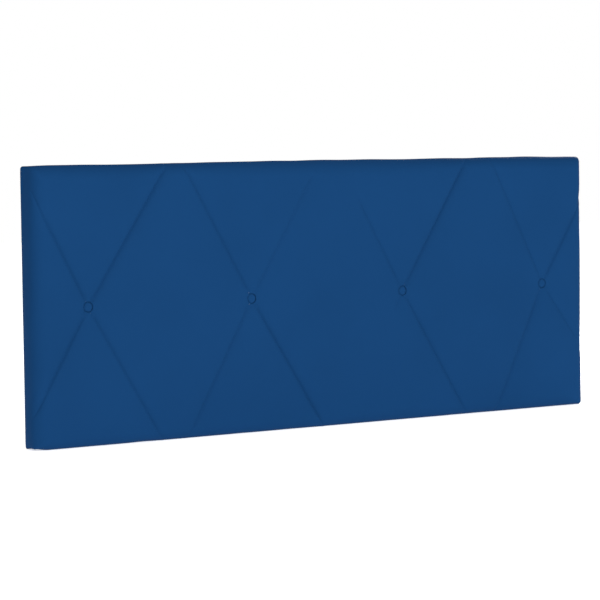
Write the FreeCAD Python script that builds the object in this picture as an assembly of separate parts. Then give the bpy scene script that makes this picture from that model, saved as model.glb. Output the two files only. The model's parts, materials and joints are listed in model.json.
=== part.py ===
import FreeCAD, Part
import math
import os

# Button-tufted headboard that hangs on the wall behind a bed.
#
# A pine ladder frame carries a plywood face board. Foam and a fibre wadding lie on the board, and a
# leatherette cover is pulled over them and stapled to the back of the frame. Four covered buttons are
# tied through the padding to washers behind the board, and the cover creases from each button to the
# top and bottom edges. A dust cover closes the back, where two keyhole plates hang it on wall screws.
#
# Frame: +X along the width, -Y out of the padded face, +Z up, origin under the middle of the bounding
# box. Lengths are millimetres. "depth" is measured from the front plane of the cover towards the wall.

V = FreeCAD.Vector
ALONG_X = V(1, 0, 0)
ALONG_Y = V(0, 1, 0)
ALONG_Z = V(0, 0, 1)

# ---- the whole headboard ----
WIDTH = 1450.0
HEIGHT = 600.0
CORNER_RADIUS = 8.0  # of the outline, seen from the front
ROLL_RADIUS = 26.0  # of the padded front edges

# ---- layers, front to back ----
COVER_THICK = 1.0
WADDING_THICK = 4.0
FOAM_THICK = 26.0
BOARD_THICK = 4.0
FRAME_DEPTH = 28.0
DUST_SHEET_THICK = 0.4
BUMPER_THICK = 8.0

WADDING_FRONT = COVER_THICK
FOAM_FRONT = WADDING_FRONT + WADDING_THICK
BOARD_FRONT = FOAM_FRONT + FOAM_THICK
FRAME_FRONT = BOARD_FRONT + BOARD_THICK
FRAME_BACK = FRAME_FRONT + FRAME_DEPTH
FLANGE_BACK = FRAME_BACK + COVER_THICK
SHEET_BACK = FRAME_BACK + DUST_SHEET_THICK  # the dust cover inside the flange
HEM_BACK = FLANGE_BACK + DUST_SHEET_THICK
DUST_BACK = HEM_BACK + DUST_SHEET_THICK
WALL_DEPTH = DUST_BACK + BUMPER_THICK

# ---- tufting ----
BUTTON_COUNT = 4
BUTTON_SPACING = 400.0
BUTTON_HEIGHT = HEIGHT / 2
CREASE_RUN = 172.0  # how far a crease travels sideways between a button and the top edge
CREASE_HALF_WIDTH = 7.0
CREASE_DEPTH = 3.0
WELL_DEPTH = 8.0
WELL_MOUTH_RADIUS = 24.0
WELL_FLOOR_RADIUS = 11.6
TWINE_HOLE_RADIUS = 4.0

# ---- covered button ----
BUTTON_RADIUS = 11.0
BUTTON_RISE = 6.5
BUTTON_RIM = 2.2
BUTTON_SKIN = 0.8
SHELL_THICK = 0.5
BACK_PLATE_RADIUS = 9.0
EYE_WIRE_RADIUS = 0.7
EYE_BEND_RADIUS = 2.5
TWINE_RADIUS = 0.75
TWINE_BEND_RADIUS = 2.0
WASHER_RADIUS = 12.5
WASHER_THICK = 3.0
KNOT_RADIUS = 2.6
KNOT_DEPTH = FRAME_FRONT + WASHER_THICK + KNOT_RADIUS * 0.6
TAIL_LENGTH = 14.0

# ---- frame ----
BATTEN = 45.0
UPRIGHT_SPACING = 400.0
FRAME_SCREW = {"length": 80.0, "shank": 2.0, "head": 4.0}
FRAME_SCREW_OFFSET = 12.0
SCREW_TIP_RADIUS = 0.2

# ---- back of the headboard ----
FLANGE_WIDTH = 38.0
DUST_MARGIN = 8.0
HEM_WIDTH = 15.0
BUMPER_RADIUS = 10.0
BUMPER_INSET = 27.5
BUMPER_CHAMFER = 0.8
STAPLE_WIRE = 0.6
STAPLE_WIDTH = 1.0
STAPLE_CROWN = 10.0

# ---- keyhole hangers ----
HANGER_SPACING = UPRIGHT_SPACING * 2
HANGER_HEIGHT = 520.0
HANGER_WIDTH = 22.0
HANGER_LENGTH = 72.0
HANGER_THICK = 1.5
HANGER_FOOT = 14.0
HANGER_GAP = 6.0  # between the dust cover and the plate, for the head of the wall screw
HANGER_FRONT = SHEET_BACK + HANGER_GAP
HANGER_BACK = HANGER_FRONT + HANGER_THICK
HANGER_CORNER = 3.0
KEYHOLE_ENTRY_RADIUS = 5.0
KEYHOLE_SLOT_RADIUS = 2.6
KEYHOLE_ENTRY_DROP = 7.0
KEYHOLE_SLOT_RISE = 8.0
HANGER_SCREW = {"length": 25.0, "shank": 1.75, "head": 3.8}

FRAME_INSET = COVER_THICK + WADDING_THICK  # the frame stands this far inside the cover's sides
LOW_Z = FRAME_INSET
HIGH_Z = HEIGHT - FRAME_INSET
HALF_FRAME = WIDTH / 2 - FRAME_INSET
BUTTON_XS = [BUTTON_SPACING * (i - (BUTTON_COUNT - 1) / 2) for i in range(BUTTON_COUNT)]
UPRIGHT_XS = {"left_upright": -UPRIGHT_SPACING, "centre_upright": 0.0, "right_upright": UPRIGHT_SPACING}
STILE_X = HALF_FRAME - BATTEN / 2
HANGER_XS = {"left": -HANGER_SPACING / 2, "right": HANGER_SPACING / 2}


# ---- small helpers ----
def at(depth):
    """Y of a plane that lies this deep behind the front plane."""
    return depth - WALL_DEPTH / 2


def block(x0, x1, depth0, depth1, z0, z1):
    return Part.makeBox(x1 - x0, depth1 - depth0, z1 - z0, V(x0, at(depth0), z0))


def drilled(x, z, depth0, depth1, radius):
    """A round bar along Y, to cut or to keep."""
    return Part.makeCylinder(radius, depth1 - depth0, V(x, at(depth0), z), ALONG_Y)


def oblong(x, z0, z1, depth0, depth1, radius):
    """An upright slot with round ends, centred between z0 and z1."""
    ends = drilled(x, z0, depth0, depth1, radius).fuse(drilled(x, z1, depth0, depth1, radius))
    return ends.fuse(block(x - radius, x + radius, depth0, depth1, z0, z1)).removeSplitter()


def turned(points, x, z):
    """A solid of revolution about the line along Y at x, z. Points are (radius, depth)."""
    wire = Part.makePolygon([V(x + radius, at(depth), z) for radius, depth in points + points[:1]])
    return Part.Face(wire).revolve(V(x, 0, z), ALONG_Y, 360)


def mirrored_run(reach, pitch):
    """Evenly spaced positions from -reach to reach, at most pitch apart."""
    gaps = math.ceil(2 * reach / pitch)
    return [-reach + 2 * reach * i / gaps for i in range(gaps + 1)]


# ---- padded body: the shape that foam, wadding and cover share, one inside the other ----
def outline_prism(inset, depth0, depth1):
    """The headboard's front outline, with its round corners, between two depths."""
    bar = block(-WIDTH / 2 + inset, WIDTH / 2 - inset, depth0, depth1, inset, HEIGHT - inset)
    uprights = [edge for edge in bar.Edges if abs(edge.tangentAt(edge.FirstParameter).y) > 0.99]
    return bar.makeFillet(CORNER_RADIUS - inset, uprights)


def rolled_section(half_span, inset, back, place):
    """A section across the padding, its two front edges rolled. place maps (span, depth) to a point."""
    radius = ROLL_RADIUS - inset
    side = half_span - inset
    flat = half_span - ROLL_RADIUS
    lean = radius * math.sqrt(0.5)
    centre = ROLL_RADIUS
    edges = [
        Part.makeLine(place(-side, back), place(-side, centre)),
        Part.Arc(place(-side, centre), place(-flat - lean, centre - lean), place(-flat, inset)).toShape(),
        Part.makeLine(place(-flat, inset), place(flat, inset)),
        Part.Arc(place(flat, inset), place(flat + lean, centre - lean), place(side, centre)).toShape(),
        Part.makeLine(place(side, centre), place(side, back)),
        Part.makeLine(place(side, back), place(-side, back)),
    ]
    return Part.Face(Part.Wire(edges))


def crease_groove(x, lean, inset):
    """A shallow V along one crease, from below the headboard to above it."""
    overshoot = 1.4
    reach = V(lean * CREASE_RUN, 0, BUTTON_HEIGHT)
    across = V(reach.z, 0, -reach.x).normalize()
    lift = FOAM_FRONT + 1.0
    half = CREASE_HALF_WIDTH * (CREASE_DEPTH + lift) / CREASE_DEPTH
    start = V(x, 0, BUTTON_HEIGHT) - reach * overshoot
    front = V(0, at(inset - lift), 0)
    corners = [start + front + across * half, start + front - across * half,
               start + V(0, at(inset + CREASE_DEPTH), 0)]
    return Part.Face(Part.makePolygon(corners + corners[:1])).extrude(reach * (2 * overshoot))


def button_well(x, inset):
    """A cone-sided dimple with a flat floor for the button."""
    lift = FOAM_FRONT + 1.0
    slope = (WELL_MOUTH_RADIUS - WELL_FLOOR_RADIUS) / WELL_DEPTH
    profile = [(0, inset - lift), (WELL_MOUTH_RADIUS + slope * lift, inset - lift),
               (WELL_FLOOR_RADIUS, inset + WELL_DEPTH), (0, inset + WELL_DEPTH)]
    return turned(profile, x, BUTTON_HEIGHT)


def padded_body(inset, back):
    """The upholstered shape, shrunk by inset on every side but the back."""
    def across_x(span, depth):
        return V(span, at(depth), 0)

    def across_z(span, depth):
        return V(-WIDTH / 2, at(depth), HEIGHT / 2 + span)

    body = outline_prism(inset, inset, back)
    body = body.common(rolled_section(WIDTH / 2, inset, back, across_x).extrude(V(0, 0, HEIGHT)))
    body = body.common(rolled_section(HEIGHT / 2, inset, back, across_z).extrude(V(WIDTH, 0, 0)))
    tools = [button_well(x, inset) for x in BUTTON_XS]
    tools += [crease_groove(x, lean, inset) for x in BUTTON_XS for lean in (-1, 1)]
    tools += [drilled(x, BUTTON_HEIGHT, 0, BOARD_FRONT, TWINE_HOLE_RADIUS) for x in BUTTON_XS]
    return body.cut(tools)


# ---- fasteners ----
def staple(x, z, upright, crown_depth, legs_to):
    """A flat-wire staple. Its crown ends at crown_depth and its legs reach legs_to."""
    inward = 1.0 if legs_to > crown_depth else -1.0
    crown = crown_depth + inward * STAPLE_WIRE
    half = STAPLE_CROWN / 2
    outline = [(-half, crown_depth), (half, crown_depth), (half, legs_to), (half - STAPLE_WIRE, legs_to),
               (half - STAPLE_WIRE, crown), (STAPLE_WIRE - half, crown), (STAPLE_WIRE - half, legs_to),
               (-half, legs_to)]
    if upright:
        points = [V(x - STAPLE_WIDTH / 2, at(depth), z + span) for span, depth in outline]
        sweep = V(STAPLE_WIDTH, 0, 0)
    else:
        points = [V(x + span, at(depth), z - STAPLE_WIDTH / 2) for span, depth in outline]
        sweep = V(0, 0, STAPLE_WIDTH)
    return Part.Face(Part.makePolygon(points + points[:1])).extrude(sweep)


def staple_ring(edge_inset, pitch, end_gap, crown_depth, legs_to):
    """Staples round the back, edge_inset inside the outline and end_gap clear of its corners."""
    ring = []
    for x in mirrored_run(WIDTH / 2 - end_gap, pitch):
        ring += [staple(x, z, False, crown_depth, legs_to) for z in (edge_inset, HEIGHT - edge_inset)]
    for span in mirrored_run(HEIGHT / 2 - end_gap, pitch):
        ring += [staple(x, HEIGHT / 2 + span, True, crown_depth, legs_to)
                 for x in (edge_inset - WIDTH / 2, WIDTH / 2 - edge_inset)]
    return ring


def screw_blank(size):
    """A countersunk screw without its recess, standing on its head at the origin and pointing up."""
    shaft_end = size["length"] - 2 * size["shank"]
    profile = [(0, 0), (size["head"], 0), (size["shank"], size["head"] - size["shank"]),
               (size["shank"], shaft_end), (SCREW_TIP_RADIUS, size["length"]), (0, size["length"])]
    wire = Part.makePolygon([V(radius, 0, depth) for radius, depth in profile + profile[:1]])
    return Part.Face(wire).revolve(V(0, 0, 0), ALONG_Z, 360)


def seated(shape, head_centre, direction):
    """The same shape with its head at head_centre, pointing along direction."""
    shape.Placement = FreeCAD.Placement(head_centre, FreeCAD.Rotation(ALONG_Z, direction))
    return shape


def wood_screw(head_centre, direction, size):
    """A countersunk wood screw with a cross recess. head_centre lies on its flat face."""
    arm = size["head"] * 0.55
    half = size["head"] * 0.12
    depth = size["head"] - size["shank"]
    screw = screw_blank(size)
    for half_x, half_y in ((arm, half), (half, arm)):
        screw = screw.cut(Part.makeBox(2 * half_x, 2 * half_y, depth, V(-half_x, -half_y, 0)))
    return seated(screw, head_centre, direction)


def screw_hole(head_centre, direction, size):
    """The countersunk hole that a wood screw fills."""
    return seated(screw_blank(size), head_centre, direction)


def frame_screw_seats():
    """(place, direction) of the screws that run through each rail into the ends of the uprights."""
    middle = at((FRAME_FRONT + FRAME_BACK) / 2)
    seats = []
    for x in [-STILE_X, STILE_X] + sorted(UPRIGHT_XS.values()):
        for offset in (-FRAME_SCREW_OFFSET, FRAME_SCREW_OFFSET):
            seats.append((V(x + offset, middle, HIGH_Z), V(0, 0, -1)))
            seats.append((V(x + offset, middle, LOW_Z), V(0, 0, 1)))
    return seats


def hanger_screw_seats(x):
    """(place, direction) of the screws through the two ends of the hanger at x."""
    offset = (HANGER_LENGTH - HANGER_FOOT) / 2
    return [(V(x, at(HANGER_BACK), HANGER_HEIGHT + rise), V(0, -1, 0)) for rise in (-offset, offset)]


def hanger_screw_holes(x):
    return [screw_hole(place, direction, HANGER_SCREW) for place, direction in hanger_screw_seats(x)]


def board_staples():
    """Staples through the face board into every member of the frame, driven flush."""
    rail_inset = FRAME_INSET + BATTEN / 2
    crown, tip = BOARD_FRONT, BOARD_FRONT + 12.6
    found = []
    for x in mirrored_run(HALF_FRAME - 60, 120):
        found += [staple(x, z, False, crown, tip) for z in (rail_inset, HEIGHT - rail_inset)]
    for x in [-STILE_X, STILE_X] + sorted(UPRIGHT_XS.values()):
        found += [staple(x, HEIGHT / 2 + span, True, crown, tip) for span in mirrored_run(190, 100)]
    return found


def cover_staples():
    """Staples that hold the turned-over edge of the cover, pressed flush into it."""
    return staple_ring(29.0, 55.0, 45.0, FLANGE_BACK, FLANGE_BACK - 8.6)


def dust_cover_staples():
    """Staples along the hem of the dust cover."""
    return staple_ring(15.5, 75.0, 60.0, DUST_BACK + STAPLE_WIRE, DUST_BACK - 7.0)


STAPLES = {"board_staples": board_staples(), "cover_staples": cover_staples(),
           "dust_cover_staples": dust_cover_staples()}


# ---- frame ----
def batten(x0, x1, z0, z1):
    """A pine batten of the frame, with its rounded outer corner and the holes of what is driven into it."""
    wood = block(x0, x1, FRAME_FRONT, FRAME_BACK, z0, z1)
    wood = wood.common(outline_prism(FRAME_INSET, FRAME_FRONT, FRAME_BACK))
    tools = [screw_hole(place, direction, FRAME_SCREW) for place, direction in frame_screw_seats()]
    for x in HANGER_XS.values():
        tools += hanger_screw_holes(x)
    for staples in STAPLES.values():
        tools += staples
    near = wood.BoundBox
    return wood.cut([tool for tool in tools if near.intersect(tool.BoundBox)])


def make_frame():
    members = {
        "top_rail": batten(-HALF_FRAME, HALF_FRAME, HIGH_Z - BATTEN, HIGH_Z),
        "bottom_rail": batten(-HALF_FRAME, HALF_FRAME, LOW_Z, LOW_Z + BATTEN),
    }
    uprights = {"left_stile": -STILE_X, "right_stile": STILE_X, **UPRIGHT_XS}
    for name, x in uprights.items():
        members[name] = batten(x - BATTEN / 2, x + BATTEN / 2, LOW_Z + BATTEN, HIGH_Z - BATTEN)
    return members


def make_face_board():
    board = outline_prism(FRAME_INSET, BOARD_FRONT, FRAME_FRONT)
    holes = [drilled(x, BUTTON_HEIGHT, BOARD_FRONT, FRAME_FRONT, TWINE_HOLE_RADIUS) for x in BUTTON_XS]
    return board.cut(holes + STAPLES["board_staples"])


def make_frame_screws():
    seats = frame_screw_seats()
    return {
        "top_frame_screws": [wood_screw(p, d, FRAME_SCREW) for p, d in seats if d.z < 0],
        "bottom_frame_screws": [wood_screw(p, d, FRAME_SCREW) for p, d in seats if d.z > 0],
    }


# ---- padding and cover ----
def make_foam():
    return padded_body(FOAM_FRONT, BOARD_FRONT)


def make_wadding():
    return padded_body(WADDING_FRONT, FRAME_BACK).cut(padded_body(FOAM_FRONT, FRAME_BACK))


def make_cover():
    """The leatherette: face, four sides and the edge that is turned over and stapled behind the frame."""
    skin = padded_body(0, FLANGE_BACK).cut(padded_body(COVER_THICK, FRAME_BACK))
    opening = block(-WIDTH / 2 + FLANGE_WIDTH, WIDTH / 2 - FLANGE_WIDTH, FRAME_BACK, FLANGE_BACK,
                    FLANGE_WIDTH, HEIGHT - FLANGE_WIDTH)
    return skin.cut([opening] + STAPLES["cover_staples"] + STAPLES["dust_cover_staples"])


# ---- buttons and their ties ----
def domed_cap(x, base, outer, inner):
    """A hollow cap turned about the button's axis. outer and inner are the (radius, top) of its two faces.

    Heights are above the well floor. Each face stands straight from base to the rim and is domed from there.
    """
    def point(radius, height):
        return V(x + radius, at(WELL_DEPTH - height), BUTTON_HEIGHT)

    def dome(radius, top):
        rise = top - BUTTON_RIM
        sphere = (radius * radius + rise * rise) / (2 * rise)
        half_angle = math.asin(radius / sphere) / 2
        halfway = point(sphere * math.sin(half_angle), top - sphere * (1 - math.cos(half_angle)))
        return Part.Arc(point(radius, BUTTON_RIM), halfway, point(0, top)).toShape()

    edges = [
        Part.makeLine(point(outer[0], base), point(outer[0], BUTTON_RIM)),
        dome(*outer),
        Part.makeLine(point(0, outer[1]), point(0, inner[1])),
        dome(*inner),
        Part.makeLine(point(inner[0], BUTTON_RIM), point(inner[0], base)),
        Part.makeLine(point(inner[0], base), point(outer[0], base)),
    ]
    return Part.Face(Part.Wire(edges)).revolve(V(x, 0, BUTTON_HEIGHT), ALONG_Y, 360)


def make_button_skin(x):
    """Leatherette stretched over the shell and tucked under its rim."""
    shell_radius = BUTTON_RADIUS - BUTTON_SKIN
    skin = domed_cap(x, 0, (BUTTON_RADIUS, BUTTON_RISE), (shell_radius, BUTTON_RISE - BUTTON_SKIN))
    tuck = drilled(x, BUTTON_HEIGHT, WELL_DEPTH - BUTTON_SKIN, WELL_DEPTH, shell_radius)
    tuck = tuck.cut(drilled(x, BUTTON_HEIGHT, WELL_DEPTH - BUTTON_SKIN, WELL_DEPTH, BACK_PLATE_RADIUS))
    return skin.fuse(tuck).removeSplitter()


def make_button_shell(x):
    radius = BUTTON_RADIUS - BUTTON_SKIN
    top = BUTTON_RISE - BUTTON_SKIN
    return domed_cap(x, BUTTON_SKIN, (radius, top), (radius - SHELL_THICK, top - SHELL_THICK))


def eye_legs(x):
    return [drilled(x, BUTTON_HEIGHT + side * EYE_BEND_RADIUS, WELL_DEPTH - BUTTON_SKIN,
                    WELL_DEPTH + EYE_BEND_RADIUS, EYE_WIRE_RADIUS) for side in (-1, 1)]


def make_button_plate(x):
    plate = drilled(x, BUTTON_HEIGHT, WELL_DEPTH - BUTTON_SKIN, WELL_DEPTH, BACK_PLATE_RADIUS)
    return plate.cut(eye_legs(x))


def make_button_eye(x):
    """A wire loop behind the plate, bent in the upright plane."""
    turn = V(x, at(WELL_DEPTH + EYE_BEND_RADIUS), BUTTON_HEIGHT)
    start = turn + V(0, 0, EYE_BEND_RADIUS)
    wire = Part.Face(Part.Wire(Part.makeCircle(EYE_WIRE_RADIUS, start, ALONG_Y)))
    bend = wire.revolve(turn, V(-1, 0, 0), 180)
    return bend.fuse(eye_legs(x)).removeSplitter()


def make_tufting_twine(x):
    """Twine through the eye, back through the board and washer, and tied off in a knot with two tails."""
    eye_depth = WELL_DEPTH + 2 * EYE_BEND_RADIUS
    turn_depth = eye_depth - EYE_WIRE_RADIUS - TWINE_RADIUS + TWINE_BEND_RADIUS
    turn = V(x, at(turn_depth), BUTTON_HEIGHT)
    start = turn + V(TWINE_BEND_RADIUS, 0, 0)
    bend = Part.Face(Part.Wire(Part.makeCircle(TWINE_RADIUS, start, ALONG_Y))).revolve(turn, ALONG_Z, -180)
    strands = [drilled(x + side * TWINE_BEND_RADIUS, BUTTON_HEIGHT, turn_depth, KNOT_DEPTH, TWINE_RADIUS)
               for side in (-1, 1)]
    knot_centre = V(x, at(KNOT_DEPTH), BUTTON_HEIGHT)
    knot = Part.makeSphere(KNOT_RADIUS, knot_centre)
    tails = [Part.makeCylinder(TWINE_RADIUS, TAIL_LENGTH, knot_centre, V(side * 0.45, 0.3, -0.84))
             for side in (-1, 1)]
    return bend.fuse(strands + [knot] + tails).removeSplitter()


def make_twine_washer(x):
    washer = drilled(x, BUTTON_HEIGHT, FRAME_FRONT, FRAME_FRONT + WASHER_THICK, WASHER_RADIUS)
    holes = [drilled(x + side * TWINE_BEND_RADIUS, BUTTON_HEIGHT, FRAME_FRONT, FRAME_FRONT + WASHER_THICK,
                     TWINE_RADIUS) for side in (-1, 1)]
    knot_seat = Part.makeSphere(KNOT_RADIUS, V(x, at(KNOT_DEPTH), BUTTON_HEIGHT))
    return washer.cut(holes + [knot_seat])


def make_buttons():
    makers = {"skin": make_button_skin, "shell": make_button_shell, "plate": make_button_plate,
              "eye": make_button_eye, "twine": make_tufting_twine, "washer": make_twine_washer}
    return {f"button_{number}_{piece}": make(x)
            for number, x in enumerate(BUTTON_XS, 1) for piece, make in makers.items()}


# ---- back of the headboard ----
def frame_ring(outer_inset, inner_inset, depth0, depth1):
    """A flat rectangular ring round the back, between two insets from the outline."""
    def slab(inset):
        return block(inset - WIDTH / 2, WIDTH / 2 - inset, depth0, depth1, inset, HEIGHT - inset)

    return slab(outer_inset).cut(slab(inner_inset))


def make_dust_cover():
    """A thin sheet against the frame. Its edge steps up over the cover's flange and is folded under."""
    middle = block(FLANGE_WIDTH - WIDTH / 2, WIDTH / 2 - FLANGE_WIDTH, FRAME_BACK, SHEET_BACK,
                   FLANGE_WIDTH, HEIGHT - FLANGE_WIDTH)
    step = frame_ring(FLANGE_WIDTH, FLANGE_WIDTH + DUST_SHEET_THICK, FRAME_BACK, DUST_BACK)
    rim = frame_ring(DUST_MARGIN, FLANGE_WIDTH, HEM_BACK, DUST_BACK)
    hem = frame_ring(DUST_MARGIN, DUST_MARGIN + HEM_WIDTH, FLANGE_BACK, HEM_BACK)
    tools = list(STAPLES["dust_cover_staples"])
    for x in HANGER_XS.values():
        tools += hanger_screw_holes(x)
    return middle.fuse([step, rim, hem]).removeSplitter().cut(tools)


def make_hanger_plate(x):
    """A flat steel plate with a keyhole: a round entry with a slot rising from it."""
    half_wide, half_long = HANGER_WIDTH / 2, HANGER_LENGTH / 2
    plate = block(x - half_wide, x + half_wide, HANGER_FRONT, HANGER_BACK,
                  HANGER_HEIGHT - half_long, HANGER_HEIGHT + half_long)
    ends = [edge for edge in plate.Edges if abs(edge.tangentAt(edge.FirstParameter).y) > 0.99]
    plate = plate.makeFillet(HANGER_CORNER, ends)
    entry_z = HANGER_HEIGHT - KEYHOLE_ENTRY_DROP
    entry = drilled(x, entry_z, HANGER_FRONT, HANGER_BACK, KEYHOLE_ENTRY_RADIUS)
    slot = oblong(x, entry_z, HANGER_HEIGHT + KEYHOLE_SLOT_RISE, HANGER_FRONT, HANGER_BACK,
                  KEYHOLE_SLOT_RADIUS)
    return plate.cut([entry, slot] + hanger_screw_holes(x))


def make_hanger_spacers(x):
    """Two blocks that hold the plate's ends off the frame, so that a screw head fits behind the keyhole."""
    spacers = []
    for side in (-1, 1):
        z = HANGER_HEIGHT + side * (HANGER_LENGTH - HANGER_FOOT) / 2
        spacer = block(x - HANGER_WIDTH / 2, x + HANGER_WIDTH / 2, SHEET_BACK, HANGER_FRONT,
                       z - HANGER_FOOT / 2, z + HANGER_FOOT / 2)
        spacers.append(spacer.cut(hanger_screw_holes(x)))
    return spacers


def make_hangers():
    made = {}
    for side, x in HANGER_XS.items():
        made[f"{side}_hanger_plate"] = make_hanger_plate(x)
        made[f"{side}_hanger_spacers"] = make_hanger_spacers(x)
        made[f"{side}_hanger_screws"] = [wood_screw(p, d, HANGER_SCREW) for p, d in hanger_screw_seats(x)]
    return made


def make_bumpers():
    """Four rubber discs that keep the back off the wall."""
    places = {"lower_left": (-1, -1), "lower_right": (1, -1), "upper_left": (-1, 1), "upper_right": (1, 1)}
    made = {}
    for name, (side, up) in places.items():
        x = side * (WIDTH / 2 - BUMPER_INSET)
        z = HEIGHT / 2 + up * (HEIGHT / 2 - BUMPER_INSET)
        disc = drilled(x, z, DUST_BACK, WALL_DEPTH, BUMPER_RADIUS)
        rim = [edge for edge in disc.Edges if edge.BoundBox.YMin > at(WALL_DEPTH) - 0.01]
        made[f"{name}_bumper"] = disc.makeChamfer(BUMPER_CHAMFER, rim)
    return made


def make_all():
    made = {"face_board": make_face_board(), "foam_pad": make_foam(), "wadding": make_wadding(),
            "cover": make_cover(), "dust_cover": make_dust_cover()}
    for group in (make_frame(), make_frame_screws(), make_buttons(), make_hangers(), make_bumpers(), STAPLES):
        made.update(group)
    return made


def export(name, shape):
    solids = shape if isinstance(shape, list) else shape.Solids
    body = solids[0] if len(solids) == 1 else Part.makeCompound(solids)
    if not body.isValid():
        raise ValueError(f"{name} is not a valid shape")
    body.exportStep(os.path.join("parts", f"{name}.step"))
    print(f"{name}: {len(solids)} solid(s), {body.Volume / 1000:.2f} cm3")


os.makedirs("parts", exist_ok=True)
for node, shape in make_all().items():
    export(node, shape)
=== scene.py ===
import bpy
import json
import math
import numpy as np
from mathutils import Matrix, Vector, noise
from mathutils.bvhtree import BVHTree
from mathutils.geometry import delaunay_2d_cdt


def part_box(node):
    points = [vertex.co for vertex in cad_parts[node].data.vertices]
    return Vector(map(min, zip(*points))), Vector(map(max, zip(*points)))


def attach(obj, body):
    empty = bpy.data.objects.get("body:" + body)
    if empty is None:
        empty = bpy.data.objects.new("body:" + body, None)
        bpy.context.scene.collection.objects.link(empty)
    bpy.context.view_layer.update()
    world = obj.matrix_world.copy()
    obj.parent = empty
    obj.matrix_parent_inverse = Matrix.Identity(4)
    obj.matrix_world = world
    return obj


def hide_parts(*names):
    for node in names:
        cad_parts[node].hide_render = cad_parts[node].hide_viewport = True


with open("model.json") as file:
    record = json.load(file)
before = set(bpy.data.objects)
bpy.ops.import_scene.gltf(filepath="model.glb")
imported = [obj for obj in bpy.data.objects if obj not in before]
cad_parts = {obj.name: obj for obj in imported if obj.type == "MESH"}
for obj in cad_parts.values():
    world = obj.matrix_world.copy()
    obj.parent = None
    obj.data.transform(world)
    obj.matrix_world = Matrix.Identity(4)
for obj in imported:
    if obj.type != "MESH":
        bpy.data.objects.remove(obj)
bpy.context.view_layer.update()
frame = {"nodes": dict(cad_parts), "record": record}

# Button-tufted headboard in blue leatherette: the cover, padding, buttons and dust cover are made here
# and the frame, hangers and fixings are the CAD parts with their finishes.
#
# The frame of the CAD model: +X along the width, -Y out of the padded face, +Z up. Lengths are metres.
# "depth" is measured from the front plane of the cover towards the wall.
#
# The cover is worked out flat. (u, v) are a point's place on the flat sheet before it is wrapped round the
# pad: u and v equal x and z on the face, and past the face's edges they run on over the roll, down the
# side and on to the flange behind, by the length of the sheet.

MM = 0.001

# ---- sizes from the CAD model ----
COVER_LOW, COVER_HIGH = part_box("cover")
HALF_WIDTH = COVER_HIGH.x
HEIGHT = COVER_HIGH.z
MID_HEIGHT = HEIGHT / 2
FRONT = COVER_LOW.y
FLANGE_DEPTH = COVER_HIGH.y - FRONT
FOAM_LOW, FOAM_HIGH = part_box("foam_pad")
FOAM_INSET = FOAM_LOW.y - FRONT
FOAM_BACK = FOAM_HIGH.y - FRONT
WADDING_LOW, WADDING_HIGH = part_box("wadding")
COVER_THICK = WADDING_LOW.y - FRONT
BUTTON_XS = [sum(corner.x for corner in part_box(f"button_{n}_skin")) / 2 for n in range(1, 5)]
BUTTON_RADIUS = (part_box("button_1_skin")[1].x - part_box("button_1_skin")[0].x) / 2
WELL_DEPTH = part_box("button_1_skin")[1].y - FRONT
BUTTON_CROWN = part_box("button_1_skin")[0].y - FRONT

# ---- sizes that the CAD model's boxes don't tell ----
ROLL_RADIUS = 26 * MM
CORNER_RADIUS = 6 * MM  # the CAD model has 8 mm, and the photo looks a little tighter
FLANGE_WIDTH = 38 * MM
TWINE_HOLE_RADIUS = 4 * MM
BACK_BEND = 2 * MM  # the cover's bend from the sides to the flange

FLAT_HALF = HALF_WIDTH - ROLL_RADIUS  # half the width of the flat part of the face
FLAT_HALF_HEIGHT = MID_HEIGHT - ROLL_RADIUS
ROLL_LENGTH = ROLL_RADIUS * math.pi / 2
SIDE_END = ROLL_LENGTH + FLANGE_DEPTH - ROLL_RADIUS - BACK_BEND
FLANGE_START = SIDE_END + BACK_BEND * math.pi / 2
SHEET_END = FLANGE_START + FLANGE_WIDTH - BACK_BEND
BEND_LEVELS = (SIDE_END, SIDE_END + BACK_BEND * math.pi / 6, SIDE_END + BACK_BEND * math.pi / 3, FLANGE_START)

# ---- creases: (button, edge it runs to, direction along that edge, slope, strength at the button,
#      strength at the edge, how far it reaches as a share of the way to the edge) ----
CREASES = [
    (0, "left", 1, 1.93, 1.0, 0.9, 1.9),
    (0, "top", 1, 0.650, 1.1, 1.3, 1.5),
    (0, "left", -1, 1.76, 1.0, 1.0, 1.9),
    (0, "bottom", 1, 0.585, 0.9, 0.8, 1.5),
    (1, "top", -1, 0.560, 0.9, 0.8, 1.5),
    (1, "top", 1, 0.590, 0.6, 0.4, 1.1),
    (1, "bottom", -1, 0.550, 0.9, 0.7, 1.5),
    (1, "bottom", 1, 0.620, 1.0, 1.2, 1.5),
    (2, "top", -1, 0.560, 0.8, 0.5, 0.85),
    (2, "top", 1, 0.610, 1.1, 1.5, 1.5),
    (2, "bottom", -1, 0.560, 0.7, 0.2, 0.22),
    (2, "bottom", 1, 0.600, 0.9, 0.9, 1.5),
    (3, "top", -1, 0.500, 0.7, 0.6, 1.3),
    (3, "right", 1, 1.65, 1.0, 0.9, 1.9),
    (3, "bottom", -1, 0.460, 0.9, 0.7, 1.4),
    (3, "right", -1, 1.35, 0.6, 0.4, 1.4),
]
CREASE_DEPTH = 4.4 * MM
CREASE_WIDTH = 4.4 * MM
CREASE_RUN_ON = 36 * MM  # how far past the face's edge a crease keeps its direction
CREASE_TURN = 8 * MM  # how gently it then turns square to the edge
LIP_SHARE = 0.56  # of the well's depth, up to the lip that closes in over the button's rim
LIP_PULL = 3.3 * MM
PLUMP = 3.2 * MM  # the most that the face may swell between creases
SIDE_LEAN = 3.0 * MM  # how much further the left and right sides stand out at the bottom than at the middle
WELL_FLOOR = 1.03 * BUTTON_RADIUS  # the well's steep wall goes up from here
WELL_LIP = 1.22 * BUTTON_RADIUS  # to here
WELL_SHOULDER = 6 * MM  # and the rest fades away over this length
FADE_BEFORE_BEND = 10 * MM  # what moves the sides ends this far before the bend to the flange
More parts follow.
